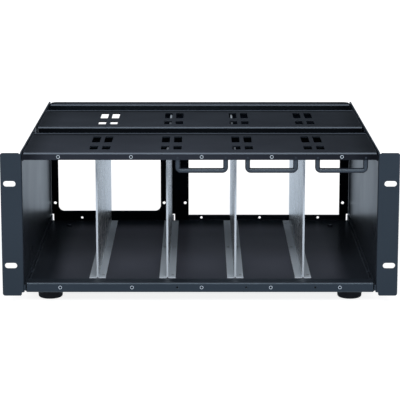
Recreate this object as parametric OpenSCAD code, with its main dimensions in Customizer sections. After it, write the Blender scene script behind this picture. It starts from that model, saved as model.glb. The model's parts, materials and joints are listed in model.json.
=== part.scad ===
// Five-bay rack-mount card cage: a folded steel chassis with slotted rack ears,
// sheet dividers on the floor, bent-rod pulls under the top lip and rubber feet.
// Millimetres. The front faces -Y, +Z is up, and the origin is on the floor under
// the middle of the chassis.

/* [Chassis] */

// Height of the ears: four rack units less the clearance between units
ear_height = 177;
// [170:1:180]

// Width over the two ears, a 19 inch rack front
ear_span = 482.6;
// [476:0.2:490]

// How far the ears reach below the body
ear_drop = 4;
// [2:0.5:6]

// Height of the body without its feet
body_height = 173.5;
// [170:0.5:178]

// Width between the two side plates
inner_width = 430;
// [428:1:434]

// Depth of the side plates, front to back
body_depth = 424;
// [424:1:460]

// How far the rear wall stands inside the back edges of the side plates
rear_recess = 8;
// [6:1:12]

/* [Sheet metal] */

// Thickness of the side plates and ears
side_thickness = 2;
// [1.6:0.1:2.2]

// Thickness of the other black sheets
sheet_thickness = 1.5;
// [1.2:0.1:1.6]

// Inside radius of every fold
fold_radius = 1;
// [0.6:0.1:1.2]

/* [Rack ears] */

// Distance of the slot centres from an ear's outer edge
ear_slot_edge = 10.8;
// [10:0.1:12]

// Height between the slot centres on an ear
ear_slot_rise = 101.6;
// [98:0.2:104]

// Width of a rack slot, for a six millimetre rack screw
ear_slot_width = 7;
// [6.6:0.1:7.4]

// Length of a rack slot from end to end
ear_slot_length = 15;
// [12:0.5:16]

// Radius on the outer corners of an ear
ear_corner_radius = 3;
// [1.5:0.5:5]

// Radius on the inner corners of an ear
ear_inner_radius = 2;
// [1:0.5:3]

// Height of the gap above the ear's fold, so that it can be bent
ear_relief = 1.5;
// [1:0.5:4]

/* [Top plates] */

// Length of each top plate, front to back
plate_length = 149.5;
// [140:0.5:155]

// Where the rear top plate starts behind the front face
rear_plate_y = 195.5;
// [190:0.5:205]

// Height of the front top plate's lip
top_lip_height = 8.8;
// [8.4:0.1:12]

// Depth of the flanges that face each other across the gap between the top plates
cross_flange_height = 28.5;
// [20:0.5:32]

// Depth of the rear top plate's rear flange
rear_hem_height = 5;
// [4:0.5:6]

// Depth of the flanges that join a top plate to the side plates
plate_side_flange = 11;
// [10:0.5:14]

// Gap between the end of the top lip and the side plate
lip_end_gap = 0.5;
// [0.3:0.1:1]

// How far a side flange is held back from the fold in front of it
fold_relief = 4;
// [3:0.5:6]

// Distance of the first vent group's middle from the left side plate
first_vent_offset = 92.6;
// [88:0.2:95]

// Distance between vent groups
vent_group_pitch = 87.3;
// [86:0.1:88]

// Distance between the two columns of a group
vent_column_pitch = 15.2;
// [14:0.2:18]

// Width of a vent slot
vent_width = 10.1;
// [8:0.1:11]

// Where the short slots start behind the plate's front edge
short_vent_start = 24;
// [20:1:28]

// Length of the short slots
short_vent_length = 25;
// [18:1:28]

// Where the long slots start behind the plate's front edge
long_vent_start = 75;
// [70:1:80]

// Length of the long slots
long_vent_length = 45;
// [35:1:50]

// Corner radius of a vent slot
vent_corner_radius = 1;
// [0.5:0.1:2]

/* [Rear rail] */

// Width of the rail along the top back edge
rail_width = 27;
// [25:0.5:30]

// Depth of the rail's front flange
rail_front_flange = 11;
// [8:0.5:14]

// Depth of the rail's rear flange
rail_rear_flange = 7;
// [6:0.5:9]

// Cut across the rail's rear corners
rail_chamfer = 5;
// [3:0.5:6]

// Length of the rail's end flanges
rail_end_flange = 10;
// [9:0.5:11]

/* [Bottom tray] */

// Height of the tray's front lip
front_lip_height = 12.4;
// [12:0.1:15]

// Width of the flange turned back from the front lip's top edge
lip_return = 20;
// [14:0.5:24]

// Height of the tray's rear lip
rear_lip_height = 9.2;
// [8.5:0.1:10]

// Height of the tray's side flanges
tray_side_flange = 9.5;
// [9:0.1:10.5]

// Gap between the end of a tray lip and the side plate
tray_lip_gap = 3.3;
// [2.5:0.1:4]

// Gap between the front face and the tray's side flanges
tray_flange_gap = 1;
// [0.5:0.1:2]

/* [Bays] */

// How far right of its bay's middle each pair of fixing holes lies
bay_hole_shift = [1, 2.8, 2, 0.5, -1];

// How far right of an even spacing each divider stands
divider_shift = [0, 2, 1.4, 0.8];

// Distance from the body's top down to the upper fixing holes
top_hole_drop = 5.1;
// [4.9:0.1:5.3]

// Height of the lower fixing holes above the body's underside
bottom_hole_rise = 6.3;
// [6:0.1:7]

// Distance from a bay's fixing hole to the small keying hole on its left
key_hole_offset = 30;
// [26:0.5:33]

// Diameter of the keying holes
key_hole_diameter = 2.6;
// [2:0.1:3]

/* [Press-in nuts] */

// Diameter of a lip nut's shank, flush with the front face
lip_nut_shank = 4.3;
// [4:0.1:4.6]

// Diameter of a lip nut behind the sheet
lip_nut_diameter = 5.2;
// [4.8:0.1:5.2]

// Thickness of a lip nut behind the sheet
lip_nut_thickness = 1.8;
// [1.4:0.1:2.4]

// Diameter of a lip nut's thread
lip_nut_bore = 3;
// [2.5:0.1:3.2]

/* [Dividers] */

// Thickness of one divider leaf
leaf_thickness = 1.2;
// [0.8:0.1:1.4]

// Width of a leaf's foot from the middle of the divider
leaf_foot = 10.2;
// [9.5:0.1:12]

// Where the dividers start behind the front face
divider_start = 67;
// [60:1:74]

// Gap between the dividers and the rear wall
divider_rear_gap = 7;
// [4:1:12]

// Gap between the dividers and the top plates
divider_top_gap = 14.5;
// [10:0.5:20]

// Clearance round the top plates' cross flanges in a divider's notch
notch_clearance = 2;
// [1:0.5:3]

// Distance of the divider rivets from the middle of the divider
divider_rivet_x = 6.5;
// [6:0.1:7]

// Position of the front divider rivets behind the front face
front_rivet_y = 79;
// [74:1:90]

// Position of the middle divider rivets behind the front face
middle_rivet_y = 236;
// [220:1:250]

// Distance of the rear divider rivets from the divider's rear end
rear_rivet_inset = 21;
// [10:1:30]

/* [Rear wall] */

// Distance from the second divider to the joint between the rear frames
frame_joint_offset = 3;
// [2.8:0.1:3.2]

// Gap between a frame and the side plate
frame_side_gap = 0.2;
// [0.1:0.1:0.5]

// Gap under the frames, clear of the tray's fold
frame_floor_gap = 1.1;
// [1:0.1:1.5]

// Distance from the left side plate to the left window
left_window_side = 10.4;
// [10.2:0.1:12]

// Distance from the joint to the left window
left_window_post = 18.8;
// [16:0.2:22]

// Bottom of the left window above the floor
left_window_z0 = 14.1;
// [13:0.1:16]

// Distance from the top plates to the left window
left_window_drop = 10.5;
// [9.5:0.5:12]

// Corner radius of the left window
left_window_radius = 8;
// [5:0.5:9]

// Distance from the joint to the right window
right_window_post = 21.6;
// [16:0.2:24]

// Distance from the right side plate to the right window
right_window_side = 13.4;
// [11:0.1:15]

// Top of the right window above the floor
right_window_z1 = 114;
// [110:1:120]

// Distance of the cover fixing holes beyond a window's edge
cover_hole_edge = 5;
// [4.8:0.1:5.2]

// Height of the lower cover fixing holes above the floor
cover_hole_rise = 25.8;
// [22:0.2:28]

// Diameter of the cover fixing holes
cover_hole_diameter = 4.2;
// [3.4:0.1:4.4]

// Diameter of the holes along the rear lip
lip_hole_diameter = 3.6;
// [3:0.1:3.8]

// Height of the rear lip's holes above the floor
lip_hole_rise = 3.8;
// [3.6:0.1:4.2]

// Width of the relief slit at the foot of each frame corner
slit_width = 1.7;
// [1.4:0.1:2]

// Height of the relief notch at the foot of each frame corner
slit_height = 9.5;
// [8.5:0.1:10]

/* [Handles] */

// Rod diameter of the handles
rod_diameter = 6;
// [5:0.1:6.2]

// Distance between a handle's two legs
handle_span = 58;
// [50:1:62]

// Distance from the body's top down to the middle of a handle's bar
handle_drop = 22.4;
// [18:0.2:40]

// Radius of a handle's bends on the rod's centre line
handle_bend_radius = 4;
// [3.5:0.5:8]

// Gap between a handle's leg and the top plate
leg_top_gap = 0.8;
// [0.5:0.1:1]

// Diameter of the pins that hold the handles
pin_diameter = 2.2;
// [1.8:0.1:2.6]

// How far the pins reach into the rod
pin_depth = 2.4;
// [2:0.1:3]

// Distance from the body's top down to the pins
pin_drop = 6.1;
// [5.8:0.1:6.6]

/* [Feet] */

// Height of the feet below the body
foot_height = 14.5;
// [12:0.5:16]

// Distance of the feet from the side plates
foot_side = 29;
// [22:1:35]

// Distance of the front feet behind the front face
front_foot_y = 38;
// [32:1:44]

// Distance of the rear feet from the chassis's back edge
rear_foot_inset = 50;
// [44:1:60]

// Radius at the top of a foot
foot_top_radius = 16;
// [14:0.5:18]

// Radius at the bottom of a foot, before its rounding
foot_base_radius = 15;
// [13:0.5:17]

// Rounding of a foot's lower edge
foot_rounding = 2.5;
// [1.5:0.1:3]

// Radius of the screw recess under a foot
foot_recess_radius = 5;
// [4.6:0.1:6]

// Depth of the screw recess under a foot
foot_recess_depth = 7;
// [5:0.5:8]

// Diameter of the foot screws
foot_screw_diameter = 4;
// [3:0.5:4]

// Gap round a foot screw in its foot
foot_screw_gap = 0.2;
// [0.1:0.1:0.4]

// Radius of a foot screw's head
foot_screw_head_radius = 4;
// [3.6:0.1:4.4]

// Height of a foot screw's head
foot_screw_head_height = 2.6;
// [2:0.1:3]

// Radius of a foot nut above the floor
foot_nut_radius = 4;
// [3.6:0.1:4.5]

// Radius of a foot nut's shank in the floor
foot_nut_shank_radius = 2.7;
// [2.5:0.1:3]

// Height of a foot nut above the floor
foot_nut_height = 2;
// [1.5:0.1:2.5]

/* [Rivets] */

// Shank diameter of the divider rivets
divider_rivet_diameter = 2.4;
// [2:0.1:2.8]

// Head diameter of the divider rivets
divider_rivet_head = 4;
// [3.6:0.1:4.8]

// Head height of the divider rivets
divider_rivet_rise = 0.6;
// [0.4:0.1:0.8]

// Shank diameter of the side rivets
side_rivet_diameter = 3.2;
// [2.8:0.1:3.4]

// Head diameter of the side rivets
side_rivet_head = 6;
// [5:0.1:6.4]

// Tail diameter of the side rivets
side_rivet_tail = 4.6;
// [4:0.1:4.8]

// Height of a side rivet's head and tail
side_rivet_rise = 0.8;
// [0.5:0.1:1]

// Height of the tray's side rivets above the body's underside
tray_rivet_rise = 6;
// [5.4:0.1:6.4]

// Distance from the body's top down to the upper side rivets
plate_rivet_drop = 6.5;
// [6:0.1:7]

// Distance of the tray's first and last side rivets from the chassis's ends
tray_rivet_inset = 84;
// [40:1:100]

// Distance of the top plates' side rivets from each plate's ends
plate_rivet_inset = 39.75;
// [20:0.25:60]

/* [Hidden] */

$fn = 48;
fold_outer = fold_radius + sheet_thickness;
side_fold_outer = fold_radius + side_thickness;
half_inner = inner_width / 2;
half_outer = half_inner + side_thickness;
half_span = ear_span / 2;
bay_pitch = inner_width / 5;
ear_start = half_inner + side_fold_outer;
ear_middle = (ear_start + half_span) / 2;
plate_half = half_inner - fold_outer;
floor_top = sheet_thickness;
plate_under = body_height - sheet_thickness;
tray_end = body_depth - rear_recess;
frame_back = tray_end - sheet_thickness;
frame_front = frame_back - sheet_thickness;
divider_end = frame_front - divider_rear_gap;
rail_start = body_depth - rail_width;
bay_x = [for (i = [0:4]) (i + 0.5) * bay_pitch - half_inner + bay_hole_shift[i]];
divider_x = [for (i = [0:3]) (i + 1) * bay_pitch - half_inner + divider_shift[i]];
handle_x = [bay_x[2], bay_x[3], bay_x[4]];
divider_height = plate_under - floor_top - divider_top_gap;
frame_joint_x = divider_x[1] + frame_joint_offset;
left_window_z1 = plate_under - floor_top - left_window_drop;
left_window_x0 = left_window_side - half_inner;
left_window_x1 = frame_joint_x - left_window_post;
right_window_x0 = frame_joint_x + right_window_post;
right_window_x1 = half_inner - right_window_side;
foot_x = half_inner - foot_side;
foot_y = [front_foot_y, body_depth - rear_foot_inset];
rear_rivet_y = divider_end - rear_rivet_inset;
top_hole_z = body_height - top_hole_drop;
pin_z = body_height - pin_drop;
rod_radius = rod_diameter / 2;
rod_y = sheet_thickness + rod_radius;
tray_rivet_y = [tray_rivet_inset, body_depth / 2, body_depth - tray_rivet_inset];
front_plate_rivet_y = [plate_rivet_inset, plate_length - plate_rivet_inset];
rear_plate_rivet_y = [rear_plate_y + plate_rivet_inset,
                      rear_plate_y + plate_length - plate_rivet_inset];
rail_rivet_y = [rail_start + fold_relief + rail_end_flange / 2];
fold_lap = 0.5;
cut = 1;

// Moves a shape drawn from the front face and the body's underside into place
module in_body() {
  translate([0, -body_depth / 2, foot_height]) children();
}

// Extrudes a profile drawn in Y and Z along X
module along_x(x0, x1) {
  translate([x0, 0, 0]) rotate([90, 0, 90]) linear_extrude(height = x1 - x0) children();
}

// Extrudes a profile drawn in X and Z along Y
module along_y(y0, y1) {
  translate([0, y1, 0]) rotate([90, 0, 0]) linear_extrude(height = y1 - y0) children();
}

// A rectangle between two corners
module area(x0, y0, x1, y1) {
  translate([x0, y0]) square([x1 - x0, y1 - y0]);
}

// A block between two corners
module block(low, high) {
  translate(low) cube(high - low);
}

// A rectangle with round corners, between two corners
module round_area(x0, y0, x1, y1, r) {
  area(x0 + r, y0, x1 - r, y1);
  area(x0, y0 + r, x1, y1 - r);
  for (x = [x0 + r, x1 - r])
    for (y = [y0 + r, y1 - r])
      translate([x, y]) circle(r = r);
}

// The section of a fold round a point, filling one quarter turn counted from +X, +Y.
// It laps into the flat sheet at both ends.
module fold(at, quarter, thickness) {
  outer = fold_radius + thickness;
  translate(at) rotate(90 * quarter) {
    intersection() {
      difference() {
        circle(r = outer);
        circle(r = fold_radius);
      }
      square(outer);
    }
    area(fold_radius, -fold_lap, outer, 0);
    area(-fold_lap, fold_radius, 0, outer);
  }
}

// A round hole through the front or rear sheets
module hole_y(x, z, d, y0, y1) {
  translate([x, y1, z]) rotate([90, 0, 0]) cylinder(d = d, h = y1 - y0);
}

// One flat ear with its two slots and rounded corners, on the right
module ear() {
  slot_flat = (ear_slot_length - ear_slot_width) / 2;
  slot_mid = ear_height / 2 - ear_drop;
  along_y(0, side_thickness) difference() {
    union() {
      round_area(ear_start, -ear_drop, ear_middle + ear_corner_radius,
                 ear_height - ear_drop, ear_inner_radius);
      round_area(ear_middle - ear_corner_radius, -ear_drop, half_span,
                 ear_height - ear_drop, ear_corner_radius);
    }
    for (z = [slot_mid - ear_slot_rise / 2, slot_mid + ear_slot_rise / 2])
      translate([half_span - ear_slot_edge, z]) {
        square([2 * slot_flat, ear_slot_width], center = true);
        for (x = [-slot_flat, slot_flat])
          translate([x, 0]) circle(d = ear_slot_width);
      }
  }
}

// The right side plate with its ear
module side_plate() {
  fold_top = body_height - ear_relief;
  difference() {
    union() {
      block([half_inner, side_fold_outer, 0], [half_outer, body_depth, body_height]);
      linear_extrude(height = fold_top)
        fold([ear_start, side_fold_outer], 2, side_thickness);
      ear();
    }
    for (y = tray_rivet_y)
      side_rivet_hole(y, tray_rivet_rise);
    for (y = concat(front_plate_rivet_y, rear_plate_rivet_y, rail_rivet_y))
      side_rivet_hole(y, body_height - plate_rivet_drop);
  }
}

module side_rivet_hole(y, z) {
  translate([half_inner - sheet_thickness - cut, y, z]) rotate([0, 90, 0])
    cylinder(d = side_rivet_diameter, h = sheet_thickness + side_thickness + 2 * cut);
}

module side_plate_left() {
  color("#2c323c") in_body() mirror([1, 0, 0]) side_plate();
}

module side_plate_right() {
  color("#2c323c") in_body() side_plate();
}

// Side rivet holes through a sheet's flanges, on both sides
module side_rivet_holes(positions, z) {
  for (y = positions) {
    side_rivet_hole(y, z);
    mirror([1, 0, 0]) side_rivet_hole(y, z);
  }
}

module bottom_tray() {
  lip_end = half_inner - tray_lip_gap;
  color("#2a2b31") in_body() difference() {
    union() {
      along_x(-plate_half, plate_half)
        area(fold_outer, 0, tray_end - fold_outer, sheet_thickness);
      along_x(-lip_end, lip_end) {
        fold([fold_outer, fold_outer], 2, sheet_thickness);
        area(0, fold_outer, sheet_thickness, front_lip_height - fold_outer);
        fold([fold_outer, front_lip_height - fold_outer], 1, sheet_thickness);
        area(fold_outer, front_lip_height - sheet_thickness, lip_return, front_lip_height);
        fold([tray_end - fold_outer, fold_outer], 3, sheet_thickness);
        area(tray_end - sheet_thickness, fold_outer, tray_end, rear_lip_height);
      }
      for (side = [0, 1])
        mirror([side, 0, 0]) {
          along_y(fold_outer + fold_relief, tray_end - fold_outer)
            fold([plate_half, fold_outer], 3, sheet_thickness);
          along_y(tray_flange_gap, tray_end - fold_outer)
            area(half_inner - sheet_thickness, fold_outer, half_inner, tray_side_flange);
        }
    }
    for (x = bay_x) {
      hole_y(x, bottom_hole_rise, lip_nut_shank, -cut, sheet_thickness + cut);
      hole_y(x, floor_top + lip_hole_rise, lip_hole_diameter,
             frame_back - cut, tray_end + cut);
    }
    for (x = handle_x)
      hole_y(x - key_hole_offset, bottom_hole_rise, key_hole_diameter,
             -cut, sheet_thickness + cut);
    block([frame_joint_x, frame_front, -cut],
          [frame_joint_x + slit_width, tray_end + cut, rear_lip_height + cut]);
    side_rivet_holes(tray_rivet_y, tray_rivet_rise);
    for (i = [0:3])
      divider_rivet_holes(i);
    for (x = [-foot_x, foot_x])
      for (y = foot_y)
        translate([x, y, -cut])
          cylinder(r = foot_nut_shank_radius, h = sheet_thickness + 2 * cut);
  }
}

// Vent slots of one top plate, in X and Y from its front edge
module vents() {
  for (group = [0:3])
    for (column = [-0.5, 0.5]) {
      x = first_vent_offset - half_inner + group * vent_group_pitch + column * vent_column_pitch;
      round_area(x - vent_width / 2, short_vent_start, x + vent_width / 2,
                 short_vent_start + short_vent_length, vent_corner_radius);
      round_area(x - vent_width / 2, long_vent_start, x + vent_width / 2,
                 long_vent_start + long_vent_length, vent_corner_radius);
    }
}

// A top plate from its own front edge, with front and rear flanges of the given depths
module top_plate(front_flange, front_half, rear_flange) {
  difference() {
    union() {
      along_x(-plate_half, plate_half) {
        area(fold_outer, plate_under, plate_length - fold_outer, body_height);
        fold([fold_outer, body_height - fold_outer], 1, sheet_thickness);
        fold([plate_length - fold_outer, body_height - fold_outer], 0, sheet_thickness);
        area(plate_length - sheet_thickness, body_height - rear_flange, plate_length,
             body_height - fold_outer);
      }
      block([-front_half, 0, body_height - front_flange],
            [front_half, sheet_thickness, body_height - fold_outer]);
      for (side = [0, 1])
        mirror([side, 0, 0])
          along_y(fold_outer + fold_relief, plate_length - fold_outer - fold_relief) {
            fold([plate_half, body_height - fold_outer], 0, sheet_thickness);
            area(half_inner - sheet_thickness, body_height - plate_side_flange,
                 half_inner, body_height - fold_outer);
          }
    }
    translate([0, 0, plate_under - cut])
      linear_extrude(height = sheet_thickness + 2 * cut) vents();
  }
}

module top_plate_front() {
  color("#333a45") in_body() difference() {
    top_plate(top_lip_height, half_inner - lip_end_gap, cross_flange_height);
    for (x = bay_x)
      hole_y(x, top_hole_z, lip_nut_shank, -cut, sheet_thickness + cut);
    for (x = handle_x)
      for (leg = [-handle_span / 2, handle_span / 2])
        hole_y(x + leg, pin_z, pin_diameter, -cut, sheet_thickness + cut);
    side_rivet_holes(front_plate_rivet_y, body_height - plate_rivet_drop);
  }
}

module top_plate_rear() {
  color("#333a45") in_body() difference() {
    translate([0, rear_plate_y, 0])
      top_plate(cross_flange_height, plate_half, rear_hem_height);
    side_rivet_holes(rear_plate_rivet_y, body_height - plate_rivet_drop);
  }
}

module rear_rail() {
  rear_half = plate_half - rail_chamfer;
  color("#333a45") in_body() difference() {
    union() {
      translate([0, 0, plate_under]) linear_extrude(height = sheet_thickness) polygon([
        [-plate_half, rail_start + fold_outer],
        [plate_half, rail_start + fold_outer],
        [plate_half, body_depth - fold_outer - rail_chamfer],
        [rear_half, body_depth - fold_outer],
        [-rear_half, body_depth - fold_outer],
        [-plate_half, body_depth - fold_outer - rail_chamfer]
      ]);
      along_x(-plate_half, plate_half) {
        fold([rail_start + fold_outer, body_height - fold_outer], 1, sheet_thickness);
        area(rail_start, body_height - rail_front_flange, rail_start + sheet_thickness,
             body_height - fold_outer);
      }
      along_x(-rear_half, rear_half) {
        fold([body_depth - fold_outer, body_height - fold_outer], 0, sheet_thickness);
        area(body_depth - sheet_thickness, body_height - rail_rear_flange, body_depth,
             body_height - fold_outer);
      }
      for (side = [0, 1])
        mirror([side, 0, 0])
          along_y(rail_start + fold_relief, rail_start + fold_relief + rail_end_flange) {
            fold([plate_half, body_height - fold_outer], 0, sheet_thickness);
            area(half_inner - sheet_thickness, body_height - plate_side_flange,
                 half_inner, body_height - fold_outer);
          }
    }
    side_rivet_holes(rail_rivet_y, body_height - plate_rivet_drop);
  }
}

// The two lower and two upper cover fixing holes beside a window
module cover_holes(x0, x1, z0, z1) {
  for (x = [x0 - cover_hole_edge, x1 + cover_hole_edge])
    for (z = [floor_top + cover_hole_rise, floor_top + z0 + z1 - cover_hole_rise])
      translate([x, z]) circle(d = cover_hole_diameter);
}

module rear_frame_left() {
  left = frame_side_gap - half_inner;
  color("#16181d") in_body() along_y(frame_front, frame_back) difference() {
    area(left, floor_top + frame_floor_gap, frame_joint_x, plate_under);
    area(left - cut, 0, sheet_thickness + slit_width - half_inner, floor_top + slit_height);
    area(frame_joint_x - slit_width, floor_top + slit_height - slit_width,
         frame_joint_x + cut, floor_top + slit_height);
    round_area(left_window_x0, floor_top + left_window_z0, left_window_x1,
               floor_top + left_window_z1, left_window_radius);
    cover_holes(left_window_x0, left_window_x1, left_window_z0, left_window_z1);
    translate([bay_x[0], floor_top + lip_hole_rise]) circle(d = lip_hole_diameter);
  }
}

module rear_frame_right() {
  right = half_inner - frame_side_gap;
  window_z0 = rear_lip_height - floor_top;
  color("#16181d") in_body() along_y(frame_front, frame_back) difference() {
    area(frame_joint_x, floor_top + frame_floor_gap, right, plate_under);
    area(half_inner - sheet_thickness - slit_width, 0, right + cut, floor_top + slit_height);
    area(frame_joint_x - cut, 0, frame_joint_x + slit_width, floor_top + slit_height);
    area(right_window_x0, 0, right_window_x1, floor_top + right_window_z1);
    cover_holes(right_window_x0, right_window_x1, window_z0, right_window_z1);
  }
}

// One leaf of a divider, on the right of the plane X = 0
module divider_leaf() {
  outer = fold_radius + leaf_thickness;
  difference() {
    translate([0, 0, floor_top]) along_y(divider_start, divider_end) {
      area(0, outer, leaf_thickness, divider_height);
      area(outer, 0, leaf_foot, leaf_thickness);
      fold([outer, outer], 2, leaf_thickness);
    }
    block([-cut, plate_length - sheet_thickness - notch_clearance,
           body_height - cross_flange_height - notch_clearance],
          [leaf_thickness + cut, rear_plate_y + sheet_thickness + notch_clearance,
           body_height]);
  }
}

// Rivet holes of divider i: front and middle on the right, middle and rear on the left
module divider_rivet_holes(i) {
  for (p = rivet_points(i))
    translate([p[0], p[1], -cut])
      cylinder(d = divider_rivet_diameter, h = floor_top + leaf_thickness + 2 * cut);
}

function rivet_points(i) = [
  [divider_x[i] + divider_rivet_x, front_rivet_y],
  [divider_x[i] + divider_rivet_x, middle_rivet_y],
  [divider_x[i] - divider_rivet_x, middle_rivet_y],
  [divider_x[i] - divider_rivet_x, rear_rivet_y]
];

module divider(i, side) {
  color("#9aa5ad") in_body() difference() {
    translate([divider_x[i], 0, 0]) mirror([side, 0, 0]) divider_leaf();
    divider_rivet_holes(i);
  }
}

// One handle, hanging behind the top lip round the plane X = 0
module handle(i) {
  leg = handle_span / 2;
  bar_z = body_height - handle_drop;
  leg_foot = bar_z + handle_bend_radius;
  leg_top = plate_under - leg_top_gap;
  color("#24272d") in_body() translate([handle_x[i], rod_y, 0]) difference() {
    union() {
      for (x = [-leg, leg])
        translate([x, 0, leg_foot]) cylinder(r = rod_radius, h = leg_top - leg_foot);
      translate([handle_bend_radius - leg, 0, bar_z]) rotate([0, 90, 0])
        cylinder(r = rod_radius, h = handle_span - 2 * handle_bend_radius);
      translate([leg - handle_bend_radius, 0, leg_foot]) rotate([90, 0, 0])
        rotate([0, 0, -90]) rotate_extrude(angle = 90)
          translate([handle_bend_radius, 0]) circle(r = rod_radius);
      translate([handle_bend_radius - leg, 0, leg_foot]) rotate([90, 0, 0])
        rotate([0, 0, 180]) rotate_extrude(angle = 90)
          translate([handle_bend_radius, 0]) circle(r = rod_radius);
    }
    for (x = [-leg, leg])
      hole_y(x, pin_z, pin_diameter, -rod_radius - cut, pin_depth - rod_radius);
  }
}

module handle_left() {
  handle(0);
}

module handle_middle() {
  handle(1);
}

module handle_right() {
  handle(2);
}

module handle_pins() {
  color("#8d959c") in_body()
    for (x = handle_x)
      for (leg = [-handle_span / 2, handle_span / 2])
        hole_y(x + leg, pin_z, pin_diameter, 0, sheet_thickness + pin_depth);
}

// A press-in nut in a front lip, flush with the front face
module lip_nut(x, z) {
  difference() {
    union() {
      hole_y(x, z, lip_nut_shank, 0, sheet_thickness);
      hole_y(x, z, lip_nut_diameter, sheet_thickness, sheet_thickness + lip_nut_thickness);
    }
    hole_y(x, z, lip_nut_bore, -cut, sheet_thickness + lip_nut_thickness + cut);
  }
}

module top_lip_nuts() {
  color("#b9c0c6") in_body()
    for (x = bay_x)
      lip_nut(x, top_hole_z);
}

module bottom_lip_nuts() {
  color("#b9c0c6") in_body()
    for (x = bay_x)
      lip_nut(x, bottom_hole_rise);
}

module divider_rivets() {
  grip = floor_top + leaf_thickness;
  color("#7d868d") in_body()
    for (i = [0:3])
      for (p = rivet_points(i))
        translate([p[0], p[1], 0]) {
          cylinder(d = divider_rivet_diameter, h = grip);
          translate([0, 0, grip])
            cylinder(d1 = divider_rivet_head, d2 = divider_rivet_diameter,
                     h = divider_rivet_rise);
          translate([0, 0, -divider_rivet_rise])
            cylinder(d = divider_rivet_head, h = divider_rivet_rise);
        }
}

// One rivet through the right side plate, its head outside
module side_rivet(y, z) {
  translate([half_inner - sheet_thickness - side_rivet_rise, y, z]) rotate([0, 90, 0]) {
    cylinder(d = side_rivet_tail, h = side_rivet_rise);
    cylinder(d = side_rivet_diameter,
             h = side_rivet_rise + sheet_thickness + side_thickness + side_rivet_rise);
    translate([0, 0, side_rivet_rise + sheet_thickness + side_thickness])
      cylinder(d1 = side_rivet_head, d2 = side_rivet_diameter, h = side_rivet_rise);
  }
}

module side_rivets() {
  for (y = tray_rivet_y)
    side_rivet(y, tray_rivet_rise);
  for (y = concat(front_plate_rivet_y, rear_plate_rivet_y, rail_rivet_y))
    side_rivet(y, body_height - plate_rivet_drop);
}

module side_rivets_left() {
  color("#22262d") in_body() mirror([1, 0, 0]) side_rivets();
}

module side_rivets_right() {
  color("#22262d") in_body() side_rivets();
}

// A rubber foot, from the underside of the body down to the floor
module foot(x, y) {
  color("#17171b") in_body() translate([x, y, -foot_height]) rotate_extrude() difference() {
    union() {
      polygon([
        [0, 0],
        [foot_base_radius - foot_rounding, 0],
        [foot_base_radius, foot_rounding],
        [foot_top_radius, foot_height],
        [0, foot_height]
      ]);
      translate([foot_base_radius - foot_rounding, foot_rounding]) circle(r = foot_rounding);
    }
    area(-cut, -cut, foot_recess_radius, foot_recess_depth);
    area(-cut, -cut, foot_screw_diameter / 2 + foot_screw_gap, foot_height + cut);
  }
}

module foot_screws() {
  color("#8f979d") in_body()
    for (x = [-foot_x, foot_x])
      for (y = foot_y)
        translate([x, y, foot_recess_depth - foot_height]) {
          translate([0, 0, -foot_screw_head_height])
            cylinder(r = foot_screw_head_radius, h = foot_screw_head_height);
          cylinder(d = foot_screw_diameter,
                   h = foot_height - foot_recess_depth + floor_top + foot_nut_height);
        }
}

module foot_nuts() {
  color("#b9c0c6") in_body()
    for (x = [-foot_x, foot_x])
      for (y = foot_y)
        translate([x, y, 0]) difference() {
          union() {
            cylinder(r = foot_nut_shank_radius, h = floor_top);
            translate([0, 0, floor_top]) cylinder(r = foot_nut_radius, h = foot_nut_height);
          }
          translate([0, 0, -cut])
            cylinder(d = foot_screw_diameter, h = floor_top + foot_nut_height + 2 * cut);
        }
}

side_plate_left();
side_plate_right();
bottom_tray();
top_plate_front();
top_plate_rear();
rear_rail();
rear_frame_left();
rear_frame_right();
divider(0, 1);  // divider_1_left
divider(0, 0);  // divider_1_right
divider(1, 1);  // divider_2_left
divider(1, 0);  // divider_2_right
divider(2, 1);  // divider_3_left
divider(2, 0);  // divider_3_right
divider(3, 1);  // divider_4_left
divider(3, 0);  // divider_4_right
handle_left();
handle_middle();
handle_right();
handle_pins();
top_lip_nuts();
bottom_lip_nuts();
divider_rivets();
side_rivets_left();
side_rivets_right();
foot(-foot_x, foot_y[0]);  // foot_front_left
foot(foot_x, foot_y[0]);  // foot_front_right
foot(-foot_x, foot_y[1]);  // foot_rear_left
foot(foot_x, foot_y[1]);  // foot_rear_right
foot_screws();
foot_nuts();
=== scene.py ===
"""Looks of the five-bay subrack card cage: its finishes, small hardware, studio and camera."""

import json
import math

import bmesh
import bpy
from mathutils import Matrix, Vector


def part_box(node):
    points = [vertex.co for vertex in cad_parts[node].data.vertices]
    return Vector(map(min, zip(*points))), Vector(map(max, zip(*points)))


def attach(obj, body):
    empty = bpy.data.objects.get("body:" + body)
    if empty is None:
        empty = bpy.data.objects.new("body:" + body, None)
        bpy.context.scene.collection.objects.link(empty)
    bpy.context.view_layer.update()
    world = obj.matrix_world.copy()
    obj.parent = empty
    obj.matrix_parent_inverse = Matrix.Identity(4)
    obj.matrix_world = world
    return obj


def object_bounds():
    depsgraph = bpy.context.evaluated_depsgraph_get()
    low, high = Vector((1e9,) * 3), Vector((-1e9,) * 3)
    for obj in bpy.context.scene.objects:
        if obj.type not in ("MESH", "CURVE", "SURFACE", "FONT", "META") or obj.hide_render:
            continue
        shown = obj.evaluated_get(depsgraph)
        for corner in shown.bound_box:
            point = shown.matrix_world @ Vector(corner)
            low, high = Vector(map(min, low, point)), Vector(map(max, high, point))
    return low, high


MM = 0.001

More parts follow.
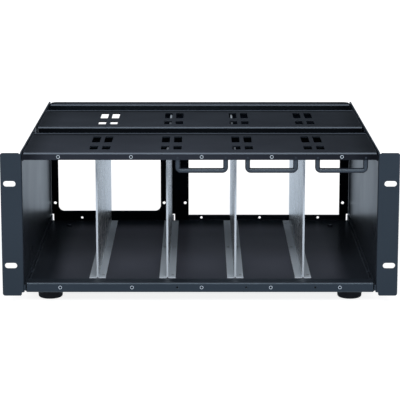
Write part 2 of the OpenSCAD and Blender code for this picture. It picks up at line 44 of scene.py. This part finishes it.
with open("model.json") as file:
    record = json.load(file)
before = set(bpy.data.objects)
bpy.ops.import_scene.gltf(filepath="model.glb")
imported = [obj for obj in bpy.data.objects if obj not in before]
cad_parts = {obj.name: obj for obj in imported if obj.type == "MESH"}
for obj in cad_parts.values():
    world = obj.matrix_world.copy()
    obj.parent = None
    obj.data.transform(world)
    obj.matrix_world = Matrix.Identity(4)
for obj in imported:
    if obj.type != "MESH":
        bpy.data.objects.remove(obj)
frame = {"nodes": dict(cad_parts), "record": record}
cad_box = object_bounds()
front = cad_box[0].y
plate_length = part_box("top_plate_front")[1].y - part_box("top_plate_front")[0].y
plate_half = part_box("top_plate_front")[1].x
plate_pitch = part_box("top_plate_rear")[0].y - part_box("top_plate_front")[0].y
scene = bpy.context.scene
scene.view_settings.view_transform = "Standard"
mounts = {mount["name"]: mount for mount in frame["record"]["mounts"]}


def linear(colour):
    """A colour written as sRGB hex, turned linear for a shader socket."""
    channels = [int(colour[i:i + 2], 16) / 255 for i in (1, 3, 5)]
    return [c / 12.92 if c <= 0.04045 else ((c + 0.055) / 1.055) ** 2.4 for c in channels] + [1.0]


def add_node(tree, kind, sockets=None, **settings):
    """Adds one node with its settings; sockets take either values or another node's output."""
    made = tree.nodes.new(kind)
    for name, value in settings.items():
        setattr(made, name, value)
    for name, value in (sockets or {}).items():
        if isinstance(value, bpy.types.NodeSocket):
            tree.links.new(value, made.inputs[name])
        else:
            made.inputs[name].default_value = value
    return made


def calculate(tree, operation, *values, **settings):
    """The result of one sum, such as ADD or MULTIPLY, on sockets or plain numbers."""
    return add_node(tree, "ShaderNodeMath", dict(enumerate(values)), operation=operation,
                    **settings).outputs["Value"]


def start_material(name, principled):
    """A material with one Principled shader, whose plain values are given, and its output."""
    material = bpy.data.materials.new(name)
    material.use_nodes = True
    tree = material.node_tree
    tree.nodes.clear()
    shader = add_node(tree, "ShaderNodeBsdfPrincipled", principled)
    add_node(tree, "ShaderNodeOutputMaterial", {"Surface": shader.outputs["BSDF"]})
    place = add_node(tree, "ShaderNodeTexCoord").outputs["Object"]
    return material, tree, shader, place


def cover(tree, shader, colour, rough, height, strength, depth_mm):
    """Gives the shader its colour, its roughness and a relief made from a height."""
    bump = add_node(tree, "ShaderNodeBump", {"Strength": strength, "Distance": depth_mm * MM,
                                             "Height": height})
    tree.links.new(colour, shader.inputs["Base Color"])
    tree.links.new(rough, shader.inputs["Roughness"])
    tree.links.new(bump.outputs["Normal"], shader.inputs["Normal"])


def stretched(tree, place, scale):
    """The place on the part with each axis scaled on its own, for streaks."""
    return add_node(tree, "ShaderNodeMapping", {"Vector": place, "Scale": scale}).outputs["Vector"]


def speckle(tree, place, size_mm, detail):
    """Noise whose blotches are about size_mm across."""
    return add_node(tree, "ShaderNodeTexNoise",
                    {"Vector": place, "Scale": 1 / (size_mm * MM), "Detail": detail}).outputs["Fac"]


def between(tree, factor, first, last, start=0.3, end=0.7):
    """A value that runs from first to last as the factor runs from start to end.

    The usual start and end hold most of the values of a noise.
    """
    return add_node(tree, "ShaderNodeMapRange",
                    {"Value": factor, "From Min": start, "From Max": end,
                     "To Min": first, "To Max": last}).outputs["Result"]


def two_colours(tree, factor, first, second):
    """A mix of two sRGB colours by a factor."""
    mix = add_node(tree, "ShaderNodeMix", data_type="RGBA")
    tree.links.new(factor, mix.inputs[0])
    mix.inputs[6].default_value = linear(first)
    mix.inputs[7].default_value = linear(second)
    return mix.outputs[2]


def over_colour(tree, factor, under, colour):
    """One sRGB colour laid over a colour output by a factor."""
    mix = add_node(tree, "ShaderNodeMix", data_type="RGBA")
    tree.links.new(factor, mix.inputs[0])
    tree.links.new(under, mix.inputs[6])
    mix.inputs[7].default_value = linear(colour)
    return mix.outputs[2]


def all_of(tree, first, *others):
    """The product of several masks."""
    for other in others:
        first = calculate(tree, "MULTIPLY", first, other)
    return first


def face_slope(tree):
    """The direction that a face looks in, as the sockets X, Y and Z."""
    facing = add_node(tree, "ShaderNodeNewGeometry").outputs["True Normal"]
    return add_node(tree, "ShaderNodeSeparateXYZ", {"Vector": facing}).outputs


def position(tree, place):
    """How far a point lies right of the middle, behind the front and off the middle."""
    spot = add_node(tree, "ShaderNodeSeparateXYZ", {"Vector": place}).outputs
    return (spot["X"], calculate(tree, "ADD", spot["Y"], -front),
            calculate(tree, "ABSOLUTE", spot["X"]))


def edge_mask(tree, radius_mm):
    """1 along outer and inner edges, 0 on flat sheet: where a paler colour is painted as a
    highlight.
    """
    rounded = add_node(tree, "ShaderNodeBevel", {"Radius": radius_mm * MM}, samples=4)
    flat = add_node(tree, "ShaderNodeNewGeometry")
    alike = add_node(tree, "ShaderNodeVectorMath",
                     {0: rounded.outputs["Normal"], 1: flat.outputs["Normal"]},
                     operation="DOT_PRODUCT")
    return between(tree, alike.outputs["Value"], 1.0, 0.0, 0.80, 0.995)


def plate_light_and_shade(tree, place, base, specular):
    """Colour and gloss of the top plates, with painted light and shade.

    Each plate is painted lighter towards its front edge, in its left half and on faces that
    look up, as painted light, and darker and duller along its sides, as painted shade. At its
    rear edge the fold is painted as a dark line of shade and then a pale highlight.
    """
    across, back, aside = position(tree, place)
    upward = face_slope(tree)["Z"]
    shade_start = plate_length - 20 * MM
    highlight_start = plate_length - 10 * MM
    line_edge = 1 * MM
    own = calculate(tree, "MODULO", back, plate_pitch)
    # Painted light: lighter towards each plate's front, in the left half and on faces that look up.
    painted_light = all_of(tree, between(tree, own, 1.0, 0.45, 0.0, plate_length),
                  between(tree, back, 1.0, 0.6, plate_length, plate_pitch),
                  between(tree, across, 1.0, 0.2, 0.0, plate_half),
                  between(tree, upward, 0.5, 1.0, 0.1, 0.4))
    base = over_colour(tree, painted_light, base, "#383B45")
    # Painted shade along the sides of each plate, which also dulls them there.
    side_shade = between(tree, aside, 0.0, 0.6, plate_half - 30 * MM, plate_half - 8 * MM)
    # A painted highlight along the fold at each plate's rear edge, and painted shade just in front
    # of it.
    rear_highlight = all_of(tree, between(tree, upward, 0.0, 1.0, 0.1, 0.3),
                   between(tree, own, 0.0, 1.0, highlight_start, highlight_start + line_edge))
    rear_shade = between(tree, own, 0.0, 0.9, shade_start, shade_start + line_edge)
    rear_shade = calculate(tree, "SUBTRACT", rear_shade, rear_highlight, use_clamp=True)
    # The flanges that hang from the folds face the gaps, and are painted dark as shade.
    flange_shade = all_of(tree, between(tree, upward, 1.0, 0.0, 0.1, 0.3),
                    between(tree, back, 0.0, 1.0, 10 * MM, 20 * MM))
    base = over_colour(tree, flange_shade, base, "#0A0C10")
    # The painted shade of the sides and the rear edge, which also takes away the gloss.
    dull = calculate(tree, "MAXIMUM", side_shade, rear_shade)
    base = over_colour(tree, dull, base, "#06070A")
    base = over_colour(tree, rear_highlight, base, "#4A525E")
    gloss = all_of(tree, between(tree, dull, specular, 0.0, 0.0, 1.0),
                   between(tree, across, 1.0, 0.6, 0.0, plate_half))
    return base, gloss


def floor_grey_and_shade(tree, place, base, specular):
    """Colour and gloss of the tray.

    Its floor is greyer and duller than the lips. The grey is painted darker, as shade,
    towards the front, at the rear wall and along the side walls.
    """
    floor_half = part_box("bottom_tray")[1].x
    floor_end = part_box("bottom_tray")[1].y - front
    behind_lip = 22 * MM
    front_shade_end = 260 * MM
    _, back, aside = position(tree, place)
    inside = between(tree, back, 0.0, 1.0, behind_lip - 2 * MM, behind_lip)
    # The floor is painted greyer, and the grey fades out as painted shade towards the front, at the
    # rear wall and along the side walls.
    grey_and_shade = all_of(tree, inside,
                    between(tree, back, 0.15, 1.0, behind_lip, front_shade_end),
                    between(tree, back, 1.0, 0.0, floor_end - 65 * MM, floor_end - 25 * MM),
                    between(tree, aside, 1.0, 0.1, floor_half - 45 * MM, floor_half - 25 * MM))
    base = over_colour(tree, grey_and_shade, base, "#696B78")
    return base, between(tree, inside, specular, 0.15, 0.0, 1.0)


# Powder coat: baked polyester on steel. It is a blue-black semi-gloss with a fine
# orange peel, which breaks reflections up and blurs them. Clouds in it shift the tint and
# the gloss slightly, and a paler colour along its edges is a painted highlight.
def powder_coat(name, dark, light, edge_highlight, rough_low, rough_high, specular, painted_fold_highlight=0.0,
                marks=None, peel_depth_mm=0.06):
    material, tree, shader, place = start_material(name, {
        "Metallic": 0.0, "IOR": 1.5, "Specular IOR Level": specular,
        "Specular Tint": linear("#CFEBFF")})
    clouds = speckle(tree, place, 70, 1.0)
    grain = speckle(tree, place, 1.6, 3.0)
    peel = speckle(tree, place, 3.2, 1.0)
    base = two_colours(tree, between(tree, clouds, 0.0, 1.0, 0.15, 0.85), dark, light)
    if marks:
        base, gloss = marks(tree, place, base, specular)
        tree.links.new(gloss, shader.inputs["Specular IOR Level"])
    # Painted highlight: a paler colour along the edges.
    edge_highlight_mask = all_of(tree, edge_mask(tree, 0.9), between(tree, grain, 0.25, 0.75))
    base = over_colour(tree, edge_highlight_mask, base, edge_highlight)
    # The folds along the front edges are smoother, and painted paler there as a highlight.
    slope = face_slope(tree)
    fold = all_of(tree, between(tree, slope["Z"], 0.0, 1.0, 0.25, 0.45),
                  between(tree, slope["Y"], 1.0, 0.0, -0.45, -0.2), painted_fold_highlight)
    base = over_colour(tree, fold, base, "#79838F")
    coarse = between(tree, clouds, rough_low, rough_high, 0.15, 0.85)
    rough = calculate(tree, "MULTIPLY_ADD", fold, -0.12, coarse)
    # The peel's lumps are really about 1 mm across; they are drawn coarser so that they show.
    cover(tree, shader, base, rough, calculate(tree, "ADD", grain, peel), 0.35, peel_depth_mm)
    return material


# Galvanised sheet: hot-dip zinc on steel. Rolling leaves upright streaks, and faint
# crystals a few millimetres across catch the light differently. The level feet are dull
# with zinc bloom, and the sheared front edges are matt and pale.
def galvanised_sheet(name):
    material, tree, shader, place = start_material(name, {})
    crystals = add_node(tree, "ShaderNodeTexVoronoi", {"Vector": place, "Scale": 1 / (5 * MM)})
    crystal = add_node(tree, "ShaderNodeSeparateColor", {"Color": crystals.outputs["Color"]})
    streaks = speckle(tree, stretched(tree, place, (1.0, 1.0, 0.04)), 5.0, 3.0)
    stains = speckle(tree, place, 40, 4.0)
    mixed = calculate(tree, "MULTIPLY_ADD", crystal.outputs["Red"], 0.2, streaks)
    base = two_colours(tree, between(tree, mixed, 0.0, 1.0, 0.4, 0.8), "#CFD2D4", "#F6F7F7")
    base = over_colour(tree, between(tree, stains, 0.0, 0.5, 0.55, 0.75), base, "#C6C9CB")
    slope = face_slope(tree)
    level = between(tree, slope["Z"], 0.0, 1.0, 0.2, 0.6)
    sheared = between(tree, slope["Y"], 1.0, 0.0, -0.9, -0.5)
    dull = calculate(tree, "MAXIMUM", level, sheared)
    base = over_colour(tree, dull, base, "#D6E1EC")
    tree.links.new(between(tree, dull, 0.85, 0.15, 0.0, 1.0), shader.inputs["Metallic"])
    shine = between(tree, mixed, 0.22, 0.34, 0.4, 0.8)
    rough = calculate(tree, "MULTIPLY_ADD", dull, 0.2, shine)
    cover(tree, shader, base, rough, streaks, 0.4, 0.05)
    return material


# Zinc plate: bright electroplate on small turned parts, with fine turning marks and a
# slightly blue cast.
def zinc_plate(name, dark, light, rough_low, rough_high):
    material, tree, shader, place = start_material(name, {"Metallic": 1.0})
    marks = speckle(tree, place, 0.5, 2.0)
    base = two_colours(tree, between(tree, marks, 0.0, 1.0), dark, light)
    cover(tree, shader, base, between(tree, marks, rough_low, rough_high), marks, 0.2, 0.02)
    return material


# Enamelled rod: dipped gloss black over drawn steel, smooth with slight runs, so that it
# shows one clear highlight along its top.
def enamelled_rod(name):
    material, tree, shader, place = start_material(name, {
        "Metallic": 0.0, "IOR": 1.5, "Specular IOR Level": 0.7,
        "Specular Tint": linear("#DAF0FF")})
    runs = speckle(tree, place, 9, 2.0)
    grain = speckle(tree, place, 0.8, 2.0)
    base = two_colours(tree, between(tree, runs, 0.0, 1.0), "#262A33", "#2E333D")
    cover(tree, shader, base, between(tree, grain, 0.22, 0.34), runs, 0.15, 0.05)
    return material


# Moulded rubber: matt black with a fine grain from its mould and a dusty bloom.
def moulded_rubber(name):
    material, tree, shader, place = start_material(name, {
        "Metallic": 0.0, "IOR": 1.52, "Specular IOR Level": 0.3})
    bloom = speckle(tree, place, 7, 4.0)
    grain = speckle(tree, place, 0.7, 2.0)
    base = two_colours(tree, between(tree, bloom, 0.0, 1.0), "#1A191E", "#232228")
    cover(tree, shader, base, between(tree, bloom, 0.68, 0.82), grain, 0.4, 0.06)
    return material


chassis_coat = powder_coat("powder_coat_chassis", "#22272F", "#282E37", "#454E5A",
                           0.26, 0.34, 0.48)
# The top plates and rear rail take the chassis's coat in a darker copy, as painted shade; their
# marks lay painted light and shade over it.
plate_coat = powder_coat("powder_coat_top_plates", "#111218", "#16171D", "#363D48",
                         0.28, 0.36, 0.16, painted_fold_highlight=0.7, marks=plate_light_and_shade)
# The rear frames take the chassis's coat in a darker copy, as painted shade deep in the cage.
shaded_frame_coat = powder_coat("powder_coat_rear_frames_painted_shade", "#070A13", "#0B0E18", "#141820",
                         0.42, 0.50, 0.05)
tray_coat = powder_coat("powder_coat_tray", "#22272F", "#282E37", "#454E5A",
                        0.26, 0.34, 0.48, painted_fold_highlight=0.25, marks=floor_grey_and_shade,
                        peel_depth_mm=0.02)
rivet_coat = powder_coat("powder_coat_rivets", "#272D38", "#2D3440", "#4A5362",
                         0.32, 0.40, 0.42)
steel = galvanised_sheet("galvanised_sheet")
zinc = zinc_plate("bright_zinc_plate", "#C0C8D0", "#E6EBEF", 0.34, 0.48)
# A darker copy of the bright zinc: for the handle pins, and as painted shade for the threads deep
# in the nuts.
darker_zinc = zinc_plate("darker_zinc_plate", "#2C3037", "#4A5058", 0.34, 0.50)
rod = enamelled_rod("black_enamel_rod")
rubber = moulded_rubber("moulded_rubber")

# Each piece takes the finish of the longest name here that its own name starts with.
FINISHES = {
    "side_plate": chassis_coat, "rear_frame": shaded_frame_coat, "bottom_tray": tray_coat,
    "top_plate": plate_coat, "rear_rail": plate_coat, "divider_rivets": zinc,
    "divider": steel, "handle_pins": darker_zinc, "handle": rod, "top_lip_nuts": zinc,
    "bottom_lip_nuts": zinc, "side_rivets": rivet_coat, "foot_screws": zinc,
    "foot_nuts": tray_coat, "foot": rubber,
}
for node_name, piece in frame["nodes"].items():
    found = max((key for key in FINISHES if node_name.startswith(key)), key=len)
    piece.data.materials.clear()
    piece.data.materials.append(FINISHES[found])


def link_piece(name, bm, material):
    """Puts a finished bmesh in the scene, riding on the chassis."""
    data = bpy.data.meshes.new(name)
    bm.to_mesh(data)
    bm.free()
    data.materials.append(material)
    made = bpy.data.objects.new(name, data)
    scene.collection.objects.link(made)
    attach(made, "root")


def turned(bm, profile, centre, steps=24):
    """Turns a profile of (radius, distance behind the centre) pairs round an axis along Y."""
    rings = []
    for radius, behind in profile:
        ring = []
        for i in range(steps):
            turn = 2 * math.pi * i / steps
            ring.append(bm.verts.new((centre.x + radius * math.cos(turn),
                                      centre.y + behind,
                                      centre.z + radius * math.sin(turn))))
        rings.append(ring)
    for first, second in zip(rings, rings[1:]):
        for i in range(steps):
            j = (i + 1) % steps
            bm.faces.new((first[i], first[j], second[j], second[i]))


BAYS = 5
THREAD_PITCH_MM = 0.5
THREAD_TURNS = 6
THREAD_START_MM = 0.15


def nut_threads(name, upper):
    """The M3 thread in each press-in nut of one lip, as V grooves with a blind end."""
    bm = bmesh.new()
    pitch = THREAD_PITCH_MM * MM
    for bay in range(1, BAYS + 1):
        mount = mounts["bay_%d_fixing" % bay]
        half = mount["dims"]["spacing_y_mm"] / 2 * MM
        x, y, z = mount["pos_m"]
        centre = Vector((x, y, z + half if upper else z - half))
        profile = [(1.5 * MM, 0.1 * MM)]
        for turn in range(THREAD_TURNS):
            start = (THREAD_START_MM + THREAD_PITCH_MM * turn) * MM
            profile.append((1.23 * MM, start + pitch / 2))
            profile.append((1.49 * MM, start + pitch))
        # The bore is closed with a disc of the darker zinc, as painted shade at its bottom.
        profile.append((0.05 * MM, profile[-1][1]))
        turned(bm, profile, centre)
    link_piece(name, bm, darker_zinc)


nut_threads("top_lip_threads", True)
nut_threads("bottom_lip_threads", False)

# Studio: a white table that runs out of sight, a softbox in front above and one overhead
WHITE = "#FFFFFF"
ROOM_TINT = "#CADCEF"
TABLE_HALF = 30
TABLE_DROP = 0.5 * MM
GLOW_NEAR = 0.86
GLOW_FAR = 1.0


def mirror_rays(tree):
    """1 for what is seen in a reflection or through something clear."""
    rays = add_node(tree, "ShaderNodeLightPath").outputs
    return calculate(tree, "MAXIMUM", rays["Is Glossy Ray"], rays["Is Transmission Ray"])


def camera_rays(tree):
    """1 for what the camera sees at first hand."""
    return add_node(tree, "ShaderNodeLightPath").outputs["Is Camera Ray"]


def white_table():
    """Matt white that glows for the camera, and a cool grey in reflections."""
    material = bpy.data.materials.new("white_table")
    material.use_nodes = True
    tree = material.node_tree
    tree.nodes.clear()
    # The table is lit less far away, so it glows more there and stays white to its edge.
    place = add_node(tree, "ShaderNodeTexCoord").outputs["Object"]
    away = add_node(tree, "ShaderNodeVectorMath", {0: place}, operation="LENGTH")
    own = between(tree, away.outputs["Value"], GLOW_NEAR, GLOW_FAR, 0.45, 1.3)
    lit = add_node(tree, "ShaderNodeBsdfDiffuse", {"Color": linear("#BEBEBE")})
    glow = add_node(tree, "ShaderNodeEmission",
                    {"Color": linear(WHITE), "Strength": all_of(tree, camera_rays(tree), own)})
    cool = add_node(tree, "ShaderNodeEmission",
                    {"Color": linear(ROOM_TINT),
                     "Strength": all_of(tree, mirror_rays(tree), 0.66)})
    both = add_node(tree, "ShaderNodeAddShader", {0: lit.outputs["BSDF"],
                                                  1: glow.outputs["Emission"]})
    both = add_node(tree, "ShaderNodeAddShader", {0: both.outputs["Shader"],
                                                  1: cool.outputs["Emission"]})
    add_node(tree, "ShaderNodeOutputMaterial", {"Surface": both.outputs["Shader"]})
    return material


def studio_floor():
    """The table top, a hair below the feet."""
    bm = bmesh.new()
    bmesh.ops.create_grid(bm, x_segments=1, y_segments=1, size=TABLE_HALF)
    data = bpy.data.meshes.new("studio_floor")
    bm.to_mesh(data)
    bm.free()
    data.materials.append(white_table())
    table = bpy.data.objects.new("studio_floor", data)
    table.location.z = -TABLE_DROP
    scene.collection.objects.link(table)


def studio_world():
    """White for the camera, a dim room in reflections and a soft light from all round."""
    world = bpy.data.worlds.new("studio")
    scene.world = world
    world.use_nodes = True
    tree = world.node_tree
    tree.nodes.clear()
    facing = add_node(tree, "ShaderNodeSeparateXYZ",
                      {"Vector": add_node(tree, "ShaderNodeTexCoord").outputs["Generated"]})
    # White near the horizon, where the table's far edge glows, and a dim studio above
    room = between(tree, facing.outputs["Z"], 1.0, 0.05, 0.0, 0.14)
    mirrored = add_node(tree, "ShaderNodeBackground", {"Color": linear(ROOM_TINT),
                                                       "Strength": room})
    white = add_node(tree, "ShaderNodeBackground", {"Color": linear(WHITE), "Strength": 1.0})
    ambient = add_node(tree, "ShaderNodeBackground", {"Color": linear("#EEF2F7"),
                                                      "Strength": 0.34})
    unseen = add_node(tree, "ShaderNodeMixShader", {0: mirror_rays(tree),
                                                    1: ambient.outputs["Background"],
                                                    2: mirrored.outputs["Background"]})
    final = add_node(tree, "ShaderNodeMixShader", {0: camera_rays(tree),
                                                   1: unseen.outputs["Shader"],
                                                   2: white.outputs["Background"]})
    add_node(tree, "ShaderNodeOutputWorld", {"Surface": final.outputs["Shader"]})


def softbox(name, place, aim, width, height, power):
    """A white rectangular lamp at a place, turned towards a point."""
    light = bpy.data.lights.new(name, "AREA")
    light.shape = "RECTANGLE"
    light.size = width
    light.size_y = height
    light.energy = power
    light.color = linear(WHITE)[:3]
    lamp = bpy.data.objects.new(name, light)
    lamp.location = place
    lamp.rotation_euler = (Vector(aim) - Vector(place)).to_track_quat("-Z", "Y").to_euler()
    scene.collection.objects.link(lamp)


studio_floor()
studio_world()
softbox("main_softbox", (0.0, -1.6, 1.1), (0, -0.1, 0.1), 1.8, 0.7, 22)
softbox("overhead_softbox", (0.0, 0.0, 1.6), (0, 0.05, 0.1), 1.6, 0.8, 2)

# Camera: in front, a little above, with a long lens
CAMERA_AHEAD = 2.1
CAMERA_HEIGHT = 0.5573
CAMERA_TILT = 11.501
camera_data = bpy.data.cameras.new("camera")
camera_data.lens = 159.33
camera_data.sensor_width = 36.0
camera_data.clip_end = 100.0
camera = bpy.data.objects.new("camera", camera_data)
camera.location = (0.0, front - CAMERA_AHEAD, CAMERA_HEIGHT)
camera.rotation_euler = (math.radians(90 - CAMERA_TILT), 0, 0)
scene.collection.objects.link(camera)
scene.camera = camera
